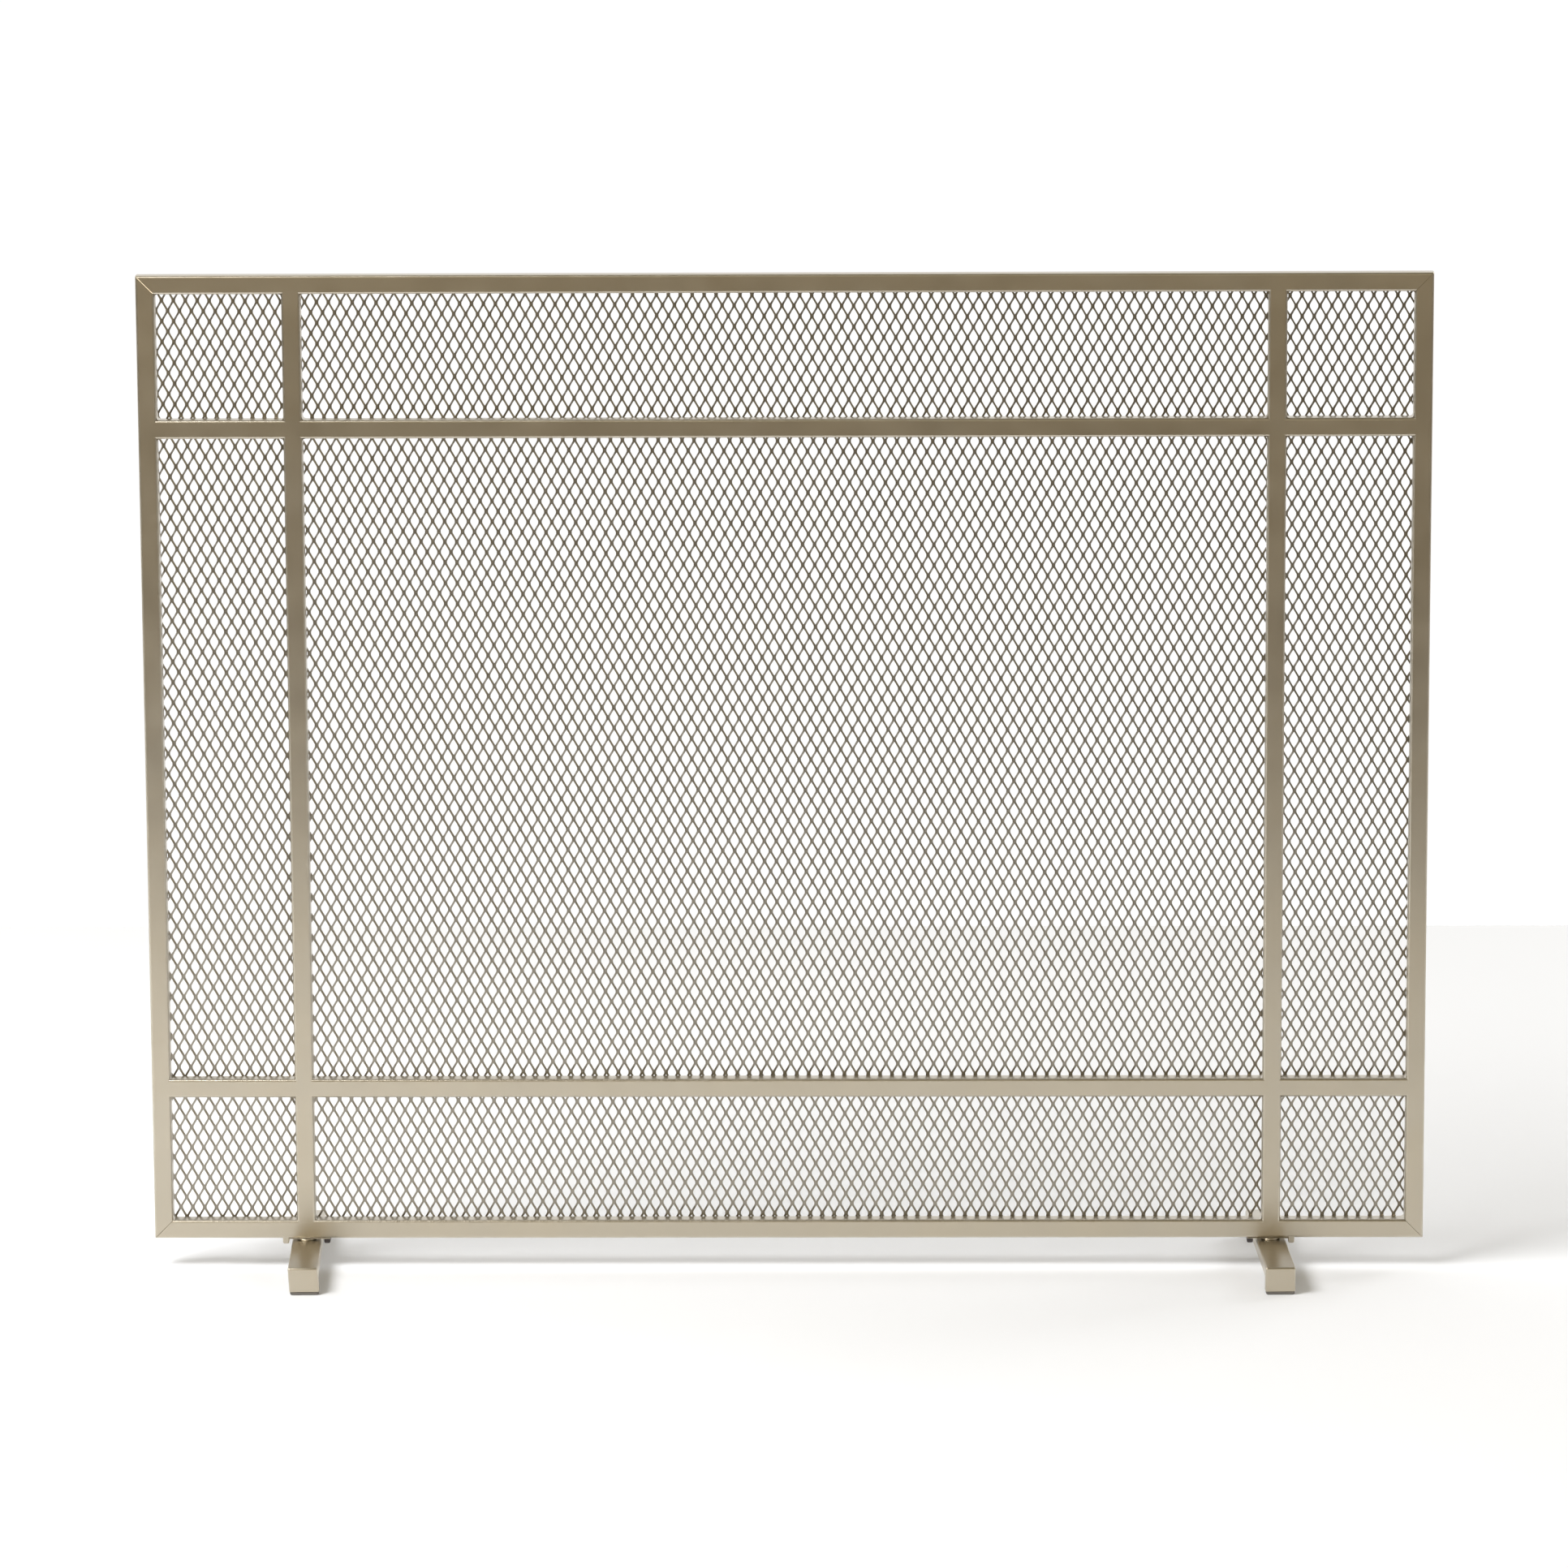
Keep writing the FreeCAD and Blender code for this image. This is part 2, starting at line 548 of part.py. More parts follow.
def check_and_export():
    """Stop if anything failed to build, then write one STEP file for each sub-part."""
    doc.recompute()
    for item in doc.Objects:
        if "Invalid" in item.State or "Error" in item.State:
            raise RuntimeError(f"{item.Name} failed: {item.State}")
    for piece in PIECES:
        shape = piece.Shape
        if shape.isNull() or not shape.isValid() or len(shape.Solids) != 1:
            raise RuntimeError(f"{piece.Label} isn't one valid solid")
    os.makedirs("parts", exist_ok=True)
    for piece in PIECES:
        piece.Shape.exportStep(f"parts/{piece.Label}.step")
        box = piece.Shape.BoundBox
        print(f"{piece.Label:26s} {piece.Shape.Volume:10.0f} mm3  z {box.ZMin:7.2f} to {box.ZMax:7.2f}")
    print(len(PIECES), "sub-parts")


make_outer_frame()
make_mullions()
make_crossbars()
make_mesh_sheet()
make_feet()
check_and_export()
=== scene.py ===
import math

import bpy
import numpy as np
from mathutils import Matrix, Vector


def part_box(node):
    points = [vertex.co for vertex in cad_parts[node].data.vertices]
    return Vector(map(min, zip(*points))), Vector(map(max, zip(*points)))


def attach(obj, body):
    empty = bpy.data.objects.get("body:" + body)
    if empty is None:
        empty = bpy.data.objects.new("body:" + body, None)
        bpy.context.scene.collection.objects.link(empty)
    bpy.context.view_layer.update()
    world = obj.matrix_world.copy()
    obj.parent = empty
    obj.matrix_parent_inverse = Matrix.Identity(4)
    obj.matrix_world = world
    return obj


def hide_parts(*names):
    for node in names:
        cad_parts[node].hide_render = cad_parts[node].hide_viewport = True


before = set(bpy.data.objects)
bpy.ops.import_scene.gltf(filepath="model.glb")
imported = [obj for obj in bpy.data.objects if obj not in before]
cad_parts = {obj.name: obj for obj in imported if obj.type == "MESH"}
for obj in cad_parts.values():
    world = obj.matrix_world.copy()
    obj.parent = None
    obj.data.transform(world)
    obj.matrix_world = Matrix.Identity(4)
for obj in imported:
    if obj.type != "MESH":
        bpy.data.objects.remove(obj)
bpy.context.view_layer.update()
ROOT = "root"

# ---- sizes in metres, read from the CAD nodes ---------------------------------------------
TOP_LOW, TOP_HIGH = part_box("top_rail")
BOTTOM_LOW, BOTTOM_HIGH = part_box("bottom_rail")
SHEET_LOW, SHEET_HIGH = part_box("mesh_sheet")
TUBE = TOP_HIGH.z - TOP_LOW.z
HALF_WIDTH = TOP_HIGH.x
PANEL_TOP = TOP_HIGH.z
PANEL_BASE = BOTTOM_LOW.z
ROUND = 0.0018

# ---- colours (linear) ---------------------------------------------------------------------
CHAMPAGNE = (0.52, 0.472, 0.385)
CHAMPAGNE_WARM = (0.54, 0.482, 0.38)
CHAMPAGNE_WORN = (0.60, 0.555, 0.475)
STRAND = (0.31, 0.285, 0.24)
# painted highlight: the paler colour on the sheet's bonds stands in for their glints
STRAND_GLINT = (0.38, 0.355, 0.305)
STEEL = (0.56, 0.55, 0.53)
GLIDE = (0.15, 0.14, 0.125)
# painted shade: the near-black colour of each saddle's inner ear stands in for the shade beside
# the foot
INNER_EAR_SHADE = (0.06, 0.052, 0.055)

# ---- grain of the finishes: noise scales per metre; bumps as scale, strength, depth in metres --
NOISE_DETAIL, NOISE_ROUGHNESS = 3.0, 0.55
NOISE_LOW, NOISE_HIGH = 0.3, 0.7
CLOUD_SCALE, SHEEN_SCALE = 14.0, 33.0
SHEEN_LESS, SHEEN_MORE = 0.02, 0.03
# paler patches: scuffing on the frame's edges, a painted highlight on the sheet's bonds
WEAR_GLINT_SCALE, WEAR_GLINT_FROM, WEAR_GLINT_TO, WEAR_GLINT_LEAST, WEAR_GLINT_MOST = 60.0, 0.4, 0.65, 0.15, 0.75
FINE_SCALE, FINE_DETAIL, FINE_STRENGTH, FINE_DEPTH = 900.0, 2.0, 0.02, 0.00003
SOFT_SCALE, SOFT_STRENGTH, SOFT_DEPTH = 90.0, 0.05, 0.0002
TINT_SCALE, SHINE_SCALE, SHINE_SPREAD = 120.0, 70.0, 0.06
GRAIN_SCALE, GRAIN_STRENGTH, GRAIN_DEPTH = 600.0, 0.15, 0.0001


# ---- materials ----------------------------------------------------------------------------
def new_material(name):
    material = bpy.data.materials.new(name)
    material.use_nodes = True
    return material, material.node_tree.nodes["Principled BSDF"]


def add_node(material, kind, **settings):
    node = material.node_tree.nodes.new(kind)
    for key, value in settings.items():
        setattr(node, key, value)
    return node


def noise(material, scale, detail=NOISE_DETAIL):
    """Noise in the object's own metres, so its grain keeps its size on every piece."""
    place = add_node(material, "ShaderNodeTexCoord")
    grain = add_node(material, "ShaderNodeTexNoise")
    grain.inputs["Scale"].default_value = scale
    grain.inputs["Detail"].default_value = detail
    grain.inputs["Roughness"].default_value = NOISE_ROUGHNESS
    material.node_tree.links.new(place.outputs["Object"], grain.inputs["Vector"])
    return grain.outputs["Fac"]


def ranged(material, value, low, high, from_low=NOISE_LOW, from_high=NOISE_HIGH):
    """The value stretched from one range to another and held inside it."""
    node = add_node(material, "ShaderNodeMapRange")
    material.node_tree.links.new(value, node.inputs["Value"])
    limits = {"From Min": from_low, "From Max": from_high, "To Min": low, "To Max": high}
    for key, number in limits.items():
        node.inputs[key].default_value = number
    return node.outputs["Result"]


def mixed(material, factor, first, second):
    """A colour between two colours; each is a colour or a socket."""
    node = add_node(material, "ShaderNodeMix", data_type="RGBA")
    material.node_tree.links.new(factor, node.inputs[0])
    for socket, colour in ((node.inputs[6], first), (node.inputs[7], second)):
        if isinstance(colour, tuple):
            socket.default_value = (*colour, 1.0)
        else:
            material.node_tree.links.new(colour, socket)
    return node.outputs[2]


def bumped(material, shader, heights):
    """Heights bumped one on another, each a socket with its strength and its depth in metres."""
    below = None
    for height, strength, depth in heights:
        bump = add_node(material, "ShaderNodeBump")
        bump.inputs["Strength"].default_value = strength
        bump.inputs["Distance"].default_value = depth
        material.node_tree.links.new(height, bump.inputs["Height"])
        if below:
            material.node_tree.links.new(below, bump.inputs["Normal"])
        below = bump.outputs["Normal"]
    material.node_tree.links.new(below, shader.inputs["Normal"])


def satin_metal(name, colour, warm, pale_for_wear_and_glint, roughness):
    """Satin metal: cloudy colour, sheen and grain; paler on scuffed edges and painted bond
    highlights.
    """
    material, shader = new_material(name)
    clouds = noise(material, CLOUD_SCALE)
    body = mixed(material, ranged(material, clouds, 0.0, 1.0), colour, warm)
    # the 'edge' attribute marks scuffed frame edges and the sheet's bonds, where the paler colour
    # is a painted highlight
    wear_and_glint_mask = add_node(material, "ShaderNodeAttribute", attribute_name="edge")
    speckle = noise(material, WEAR_GLINT_SCALE)
    patches = ranged(material, speckle, WEAR_GLINT_LEAST, WEAR_GLINT_MOST, WEAR_GLINT_FROM, WEAR_GLINT_TO)
    wear_and_glint = add_node(material, "ShaderNodeMath", operation="MULTIPLY")
    material.node_tree.links.new(wear_and_glint_mask.outputs["Fac"], wear_and_glint.inputs[0])
    material.node_tree.links.new(patches, wear_and_glint.inputs[1])
    shade = mixed(material, wear_and_glint.outputs[0], body, pale_for_wear_and_glint)
    material.node_tree.links.new(shade, shader.inputs["Base Color"])
    streaks = noise(material, SHEEN_SCALE)
    sheen = ranged(material, streaks, roughness - SHEEN_LESS, roughness + SHEEN_MORE)
    material.node_tree.links.new(sheen, shader.inputs["Roughness"])
    shader.inputs["Metallic"].default_value = 1.0
    fine = noise(material, FINE_SCALE, FINE_DETAIL), FINE_STRENGTH, FINE_DEPTH
    soft = noise(material, SOFT_SCALE), SOFT_STRENGTH, SOFT_DEPTH
    bumped(material, shader, [fine, soft])
    return material


def plain_finish(name, colour, tint, roughness, metallic=0.0):
    """An even finish with a fine grain, its colour drifting from colour to colour times tint."""
    material, shader = new_material(name)
    drift = ranged(material, noise(material, TINT_SCALE), 0.0, 1.0)
    shade = mixed(material, drift, colour, tuple(c * tint for c in colour))
    material.node_tree.links.new(shade, shader.inputs["Base Color"])
    spots = noise(material, SHINE_SCALE)
    shine = ranged(material, spots, roughness - SHINE_SPREAD, roughness + SHINE_SPREAD)
    material.node_tree.links.new(shine, shader.inputs["Roughness"])
    shader.inputs["Metallic"].default_value = metallic
    bumped(material, shader, [(noise(material, GRAIN_SCALE), GRAIN_STRENGTH, GRAIN_DEPTH)])
    return material


FRAME_METAL = satin_metal("frame_satin", CHAMPAGNE, CHAMPAGNE_WARM, CHAMPAGNE_WORN, roughness=0.30)
# painted highlight: the sheet's bonds take the paler strand colour in place of glints
MESH_METAL = satin_metal("mesh_satin", STRAND, STRAND, STRAND_GLINT, roughness=0.34)
PAD_RUBBER = plain_finish("glide_rubber", GLIDE, tint=1.3, roughness=0.5)
PLATED_STEEL = plain_finish("plated_steel", STEEL, tint=0.85, roughness=0.3, metallic=1.0)
# painted shade: a near-black finish for the saddles' inner ears
INNER_EAR_PAINTED_SHADE = plain_finish("inner_ear_painted_shade_finish", INNER_EAR_SHADE, tint=1.4, roughness=0.5, metallic=0.5)


# ---- mesh building ------------------------------------------------------------------------
SHARP_OVER = math.radians(35)


def link_new(name, data):
    made = bpy.data.objects.new(name, data)
    bpy.context.scene.collection.objects.link(made)
    return made


class Shell:
    """Collects faces with their corner normals, then becomes one mesh object."""

    def __init__(self):
        self.points, self.faces, self.normals, self.edge = [], [], [], []

    def add_points(self, points, edge):
        first = len(self.points)
        self.points.extend(tuple(p) for p in points)
        self.edge.extend(edge)
        return first

    def add_face(self, corners, normals=()):
        self.faces.append(tuple(corners))
        self.normals.extend(tuple(n) for n in normals)

    def to_object(self, name, material):
        """One mesh object, with the corners' own normals or else sharp edges over SHARP_OVER."""
        mesh = bpy.data.meshes.new(name)
        mesh.from_pydata(self.points, [], self.faces)
        mesh.shade_smooth()
        if self.normals:
            mesh.normals_split_custom_set(self.normals)
        else:
            mesh.set_sharp_from_angle(angle=SHARP_OVER)
        wear_and_glint_mask = mesh.attributes.new("edge", "FLOAT", "POINT")
        wear_and_glint_mask.data.foreach_set("value", self.edge)
        mesh.materials.append(material)
        return link_new(name, mesh)


def place_piece(made, node):
    """Puts a finished piece into the frame in the place of its CAD node."""
    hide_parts(node)
    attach(made, ROOT)


# ---- square tubes ---------------------------------------------------------------------------
ARC_STEPS = 6
GROOVE = 0.00028


def middle(node):
    low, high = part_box(node)
    return (low + high) / 2


def rounded_square(side, radius):
    """Outline of a rounded square: points, outward normals, and wear, most in mid-corner."""
    points, normals, edge = [], [], []
    centre = side / 2 - radius
    for corner in range(4):
        turn = math.pi / 2 * corner
        cx = centre * math.sqrt(2) * math.cos(turn + math.pi / 4)
        cy = centre * math.sqrt(2) * math.sin(turn + math.pi / 4)
        for step in range(ARC_STEPS + 1):
            angle = turn + math.pi / 2 * step / ARC_STEPS
            normal = (math.cos(angle), math.sin(angle))
            points.append((cx + radius * normal[0], cy + radius * normal[1]))
            normals.append(normal)
            edge.append(math.sin(math.pi * step / ARC_STEPS))
    return points, normals, edge


def ring(shell, origin, along, across, up, plane, back, inset):
    """One loop of a tube, cut by a plane (point, normal), moved along by back and in by inset."""
    points, normals, edge = rounded_square(TUBE, ROUND)
    at, face = plane
    made = []
    for (u, v), (nu, nv) in zip(points, normals):
        p = origin + across * (u - inset * nu) + up * (v - inset * nv)
        p = p + along * (face.dot(at - p) / face.dot(along)) + along * back
        made.append(p)
    return shell.add_points(made, edge), [across * nu + up * nv for nu, nv in normals]


def tube(node, along, across, start, end):
    """A square tube between two planes, with a fine groove where each end meets its neighbour."""
    origin = middle(node)
    up = along.cross(across)
    shell = Shell()
    first, sides = ring(shell, origin, along, across, up, start, 0.0, GROOVE)
    second = ring(shell, origin, along, across, up, start, GROOVE, 0.0)[0]
    third = ring(shell, origin, along, across, up, end, -GROOVE, 0.0)[0]
    last = ring(shell, origin, along, across, up, end, 0.0, GROOVE)[0]
    count = len(sides)
    slant = {
        first: [(n - along).normalized() for n in sides],
        second: sides,
        third: [(n + along).normalized() for n in sides],
    }
    for low, high in ((first, second), (second, third), (third, last)):
        normals = slant[low]
        for i in range(count):
            j = (i + 1) % count
            corners = (low + i, low + j, high + j, high + i)
            shell.add_face(corners, (normals[i], normals[j], normals[j], normals[i]))
    shell.add_face([first + i for i in reversed(range(count))], [-start[1]] * count)
    shell.add_face([last + i for i in range(count)], [end[1]] * count)
    place_piece(shell.to_object("vis_" + node, FRAME_METAL), node)


X, Y, Z = Vector((1, 0, 0)), Vector((0, 1, 0)), Vector((0, 0, 1))
# Each mitre as a point and the plane's normal, turned to point along a rail (+X).
CORNERS = {
    "top_left": (Vector((-HALF_WIDTH, 0, PANEL_TOP)), Vector((1, 0, 1)).normalized()),
    "top_right": (Vector((HALF_WIDTH, 0, PANEL_TOP)), Vector((1, 0, -1)).normalized()),
    "base_left": (Vector((-HALF_WIDTH, 0, PANEL_BASE)), Vector((1, 0, -1)).normalized()),
    "base_right": (Vector((HALF_WIDTH, 0, PANEL_BASE)), Vector((1, 0, 1)).normalized()),
}


def facing_up(corner):
    """A mitre with its normal turned to point along a stile (+Z)."""
    at, face = corner
    return at, face * (1 if face.z > 0 else -1)


def build_frame():
    tube("top_rail", X, Y, CORNERS["top_left"], CORNERS["top_right"])
    tube("bottom_rail", X, Y, CORNERS["base_left"], CORNERS["base_right"])
    for side in ("left", "right"):
        base, top = CORNERS[f"base_{side}"], CORNERS[f"top_{side}"]
        tube(f"{side}_stile", Z, X, facing_up(base), facing_up(top))
    for node in ("left_mullion", "right_mullion"):
        low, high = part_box(node)
        tube(node, Z, X, (low - Z * ROUND, Z), (high + Z * ROUND, Z))
    for level in ("upper", "lower"):
        for bay in ("left", "centre", "right"):
            node = f"{level}_{bay}_crossbar"
            low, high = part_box(node)
            tube(node, X, Y, (low - X * ROUND, X), (high + X * ROUND, X))


# ---- expanded metal sheet -----------------------------------------------------------------
# The pitch is from one opening to the next in its row or column. TAPER, BOW and LEAN are the small
# drifts from column to column and row to row that the photo's sheet shows, and TILT is how far a
# strand stands forward on one side of an opening and back on the other.
PITCH_X, PITCH_Z = 0.008986, 0.015636
START_X, START_Z = -0.00362, -0.00008
MID_ROW = 48
TAPER, BOW = -0.00000094, 0.0000002
LEAN_X, LEAN_Z = -0.0000537, -0.0000307
HOLE_HALF_X, HOLE_HALF_Z, HOLE_SIDE = 0.0031, 0.0062, 0.0009
HOLE_MID_X, HOLE_MID_Z = 0.5, 0.6  # where a strand bends, as shares of the opening's half sizes
CORNERS_PER_HOLE = 10
BOND_CORNERS = (0, 1, 3, 5, 6, 8)
TILT = -0.00035
SHEET_THICK = 0.0009
FLAT = 0.000001
SPARE_CELLS = 2


def opening_centre(i, j):
    """Middle of the opening in column i and row j; the sheet is drawn out a little unevenly."""
    x = START_X + i * PITCH_X / 2 + (i * TAPER + LEAN_X) * (j - MID_ROW)
    z = START_Z + j * PITCH_Z / 2 + i * LEAN_Z + i * i * BOW
    return x, z


def in_sheet(i, j):
    """Whether an opening's middle is in the sheet or less than half a pitch beyond its edge."""
    x, z = opening_centre(i, j)
    inside_x = SHEET_LOW.x - PITCH_X / 2 < x < SHEET_HIGH.x + PITCH_X / 2
    return inside_x and SHEET_LOW.z - PITCH_Z / 2 < z < SHEET_HIGH.z + PITCH_Z / 2


def strand_faces(number):
    """Front faces of the strands and bonds between openings.

    number gives each opening's first corner. The corners go round from the opening's right side:
    0 and 1 are right, 3 is the top, 5 and 6 are left and 8 is the bottom.
    """
    faces = []
    for (i, j), a in number.items():
        neighbours = (i + 1, j + 1), (i - 1, j + 1), (i, j + 2)
        right, left, above = (number.get(cell) for cell in neighbours)
        if right is not None:
            faces += [(a + 1, right + 8, right + 7, a + 2), (a + 2, right + 7, right + 6, a + 3)]
        if left is not None:
            faces += [(a + 3, left, left + 9, a + 4), (a + 4, left + 9, left + 8, a + 5)]
        if above is not None and right is not None:
            faces.append((a + 3, right + 6, right + 5, above + 8))
        if above is not None and left is not None:
            faces.append((a + 3, above + 8, left + 1, left))
    return faces


def sheet_strip(name, first, last):
    """Expanded metal from one column of openings to another, closed all round."""
    hx, hz = HOLE_HALF_X, HOLE_HALF_Z
    mid_x, mid_z = hx * HOLE_MID_X, hz * HOLE_MID_Z
    upper = [(hx, -HOLE_SIDE), (hx, HOLE_SIDE), (mid_x, mid_z), (0.0, hz), (-mid_x, mid_z)]
    lower = [(-x, -z) for x, z in upper]
    loop = np.array(upper + lower)
    rows = range(math.ceil(SHEET_HIGH.z / (PITCH_Z / 2)) + SPARE_CELLS)
    columns = range(first, last + 1)
    cells = [(i, j) for j in rows for i in columns if (i + j) % 2 == 0 and in_sheet(i, j)]
    number = {cell: CORNERS_PER_HOLE * k for k, cell in enumerate(cells)}
    outline = np.array([opening_centre(i, j) for i, j in cells])[:, None, :] + loop
    outline = np.clip(outline, (SHEET_LOW.x, SHEET_LOW.z), (SHEET_HIGH.x, SHEET_HIGH.z))
    depth = SHEET_LOW.y + abs(TILT) + SHEET_THICK / 2 + TILT * loop[:, 0] / hx
    layers = []
    for side in (-SHEET_THICK / 2, SHEET_THICK / 2):
        y = np.broadcast_to(depth + side, outline.shape[:2])
        layers.append(np.stack([outline[..., 0], y, outline[..., 1]], -1).reshape(-1, 3))
    points = np.concatenate(layers)
    back = CORNERS_PER_HOLE * len(cells)
    front = np.array(strand_faces(number))
    spans = np.ptp(outline.reshape(-1, 2)[front], axis=1)
    front = front[spans.min(axis=1) > FLAT].tolist()  # drops what the sheet's edge cut to nothing
    rear = [tuple(c + back for c in reversed(face)) for face in front]
    sides = {(face[k - 1], face[k]) for face in front for k in range(4)}
    walls = [(b, a, a + back, b + back) for a, b in sorted(sides) if (b, a) not in sides]
    used, faces = np.unique(np.array(front + rear + walls), return_inverse=True)
    # painted highlight: the corners at the bonds are marked to take the paler colour
    glint_at_bond = np.isin(used % CORNERS_PER_HOLE, BOND_CORNERS)
    shell = Shell()
    shell.add_points(points[used].tolist(), glint_at_bond.astype(float).tolist())
    shell.faces = [tuple(face) for face in faces.reshape(-1, 4).tolist()]
    place_piece(shell.to_object(name, MESH_METAL), "mesh_sheet")


def build_sheet():
    """Four strips that share a column of openings behind each mullion and at the middle."""
    behind = round(middle("right_mullion").x / (PITCH_X / 2))
    edge = math.ceil(SHEET_HIGH.x / (PITCH_X / 2)) + SPARE_CELLS
    for name, first, last in (
        ("vis_mesh_left", -edge, -behind),
        ("vis_mesh_centre_left", -behind, 0),
        ("vis_mesh_centre_right", 0, behind),
        ("vis_mesh_right", behind, edge),
    ):
        sheet_strip(name, first, last)


# ---- weld fillets in the corners of the openings ---------------------------------------------
FILLET = 0.0021
FILLET_STEPS = 5
FILLET_SET_BACK = 0.0009


def corner_fillet(shell, x, z, to_x, to_z):
    """A hollow fillet in one corner of an opening; to_x and to_z point into the opening."""
    arc = [(0.0, 0.0)]
    for step in range(FILLET_STEPS + 1):
        angle = math.pi / 2 * step / FILLET_STEPS
        arc.append((FILLET * (1 - math.sin(angle)), FILLET * (1 - math.cos(angle))))
    front, rear, count = -TUBE / 2 + FILLET_SET_BACK, TUBE / 2 - FILLET_SET_BACK, len(arc)
    first = shell.add_points([(x + to_x * u, front, z + to_z * v) for u, v in arc], [1.0] * count)
    second = shell.add_points([(x + to_x * u, rear, z + to_z * v) for u, v in arc], [1.0] * count)
    for i in range(count):
        j = (i + 1) % count
        shell.add_face((first + i, first + j, second + j, second + i))
    shell.add_face(range(first + count - 1, first - 1, -1))
    shell.add_face(range(second, second + count))


def build_fillets():
    """All the fillets as one object: four in each of the nine openings."""
    stile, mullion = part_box("left_stile"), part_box("left_mullion")
    upper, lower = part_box("upper_centre_crossbar"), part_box("lower_centre_crossbar")
    side_bay = stile[1].x, mullion[0].x
    centre_bay = mullion[1].x, -mullion[1].x
    bays = side_bay, centre_bay, (-side_bay[1], -side_bay[0])
    levels = (BOTTOM_HIGH.z, lower[0].z), (lower[1].z, upper[0].z), (upper[1].z, TOP_LOW.z)
    shell = Shell()
    for left, right in bays:
        for base, top in levels:
            corner_fillet(shell, left, base, 1, 1)
            corner_fillet(shell, right, base, -1, 1)
            corner_fillet(shell, left, top, 1, -1)
            corner_fillet(shell, right, top, -1, -1)
    made = shell.to_object("vis_weld_fillets", FRAME_METAL)
    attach(made, ROOT)


# ---- feet ------------------------------------------------------------------------------------
# In the photo both feet are swung a little on their bolts, and the left one's front end leans.
SWING = math.radians(2.2)
LEAN = {"left": 0.06, "right": 0.0}
BAR = 0.008
EDGE_ROUND, BEND_OUTER, BEND_INNER, BEND_STEPS = 0.0013, 0.0014, 0.0012, 8
LITTLE_WEAR, HALF_WEAR = 0.3, 0.5
FOOT_LOW, FOOT_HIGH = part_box("left_foot")
PAD_LOW, PAD_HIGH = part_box("left_front_pad")


class FootFrame:
    """Takes a foot's own coordinates, with its bolt at the origin, to the panel's."""

    def __init__(self, side):
        low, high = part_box(f"{side}_foot")
        self.centre = (low.x + high.x) / 2
        self.lean = LEAN[side]

    def place(self, x, y, z):
        if y < 0:
            x = x + self.lean * max(0.0, FOOT_HIGH.z - BEND_OUTER - z)
        turned = Matrix.Rotation(SWING, 3, "Z") @ Vector((x, y, 0))
        return Vector((self.centre + turned.x, turned.y, z))


def bent_bar():
    """Stations along half a foot, from under its front end to its middle.

    Each is a point on the outside, the normal there and the point across from it on the inside.
    """
    end, top, low = FOOT_LOW.y, FOOT_HIGH.z, FOOT_LOW.z
    stations = [((end, low), (-1.0, 0.0), (end + BAR, low))]
    for step in range(BEND_STEPS + 1):
        turn = math.pi / 2 * step / BEND_STEPS
        normal = (-math.cos(turn), math.sin(turn))
        in_by, down_by = 1 + normal[0], 1 - normal[1]
        outer = (end + BEND_OUTER * in_by, top - BEND_OUTER * down_by)
        inner = (end + BAR + BEND_INNER * in_by, top - BAR - BEND_INNER * down_by)
        stations.append((outer, normal, inner))
    stations.append(((0.0, top), (0.0, 1.0), (0.0, top - BAR)))
    return stations


def make_foot(side):
    """A bar bent down at both ends, with rounded outer edges."""
    front = bent_bar()
    rear = [[(-y, z) for y, z in station] for station in reversed(front[:-1])]
    stations = front + rear
    wide = (FOOT_HIGH.x - FOOT_LOW.x) / 2
    frame_of = FootFrame(side)
    shell = Shell()
    loops = []
    for (oy, oz), (ny, nz), (iy, iz) in stations:
        section = [(-wide, iy, iz)]
        edge = [LITTLE_WEAR]
        for sign in (-1, 1):
            for step in range(ARC_STEPS + 1):
                turn = math.pi / 2 * (step if sign > 0 else ARC_STEPS - step) / ARC_STEPS
                drop = EDGE_ROUND * (1 - math.cos(turn))
                across = sign * (wide - EDGE_ROUND * (1 - math.sin(turn)))
                section.append((across, oy - ny * drop, oz - nz * drop))
                edge.append(math.sin(2 * turn))
        section.append((wide, iy, iz))
        edge.append(LITTLE_WEAR)
        loops.append(shell.add_points([frame_of.place(*p) for p in section], edge))
    count = 2 * ARC_STEPS + 4
    for low, high in zip(loops, loops[1:]):
        for i in range(count):
            j = (i + 1) % count
            shell.add_face((low + i, high + i, high + j, low + j))
    shell.add_face(range(loops[0], loops[0] + count))
    shell.add_face(range(loops[-1] + count - 1, loops[-1] - 1, -1))
    place_piece(shell.to_object(f"vis_{side}_foot", FRAME_METAL), f"{side}_foot")


PAD_WAIST, PAD_SHOULDER = 0.0005, 0.0021  # how far the waist stands in, and from what height
PAD_CORNER, PAD_FOOT_ROUND, PAD_FOOT_STEPS = 0.0016, 0.0012, 5


def rounded_rectangle(half_x, half_y, radius):
    points = []
    for corner in range(4):
        turn = math.pi / 2 * corner
        sx = 1 if corner in (0, 3) else -1
        sy = 1 if corner in (0, 1) else -1
        for step in range(ARC_STEPS + 1):
            angle = turn + math.pi / 2 * step / ARC_STEPS
            x = sx * (half_x - radius) + radius * math.cos(angle)
            y = sy * (half_y - radius) + radius * math.sin(angle)
            points.append((x, y))
    return points


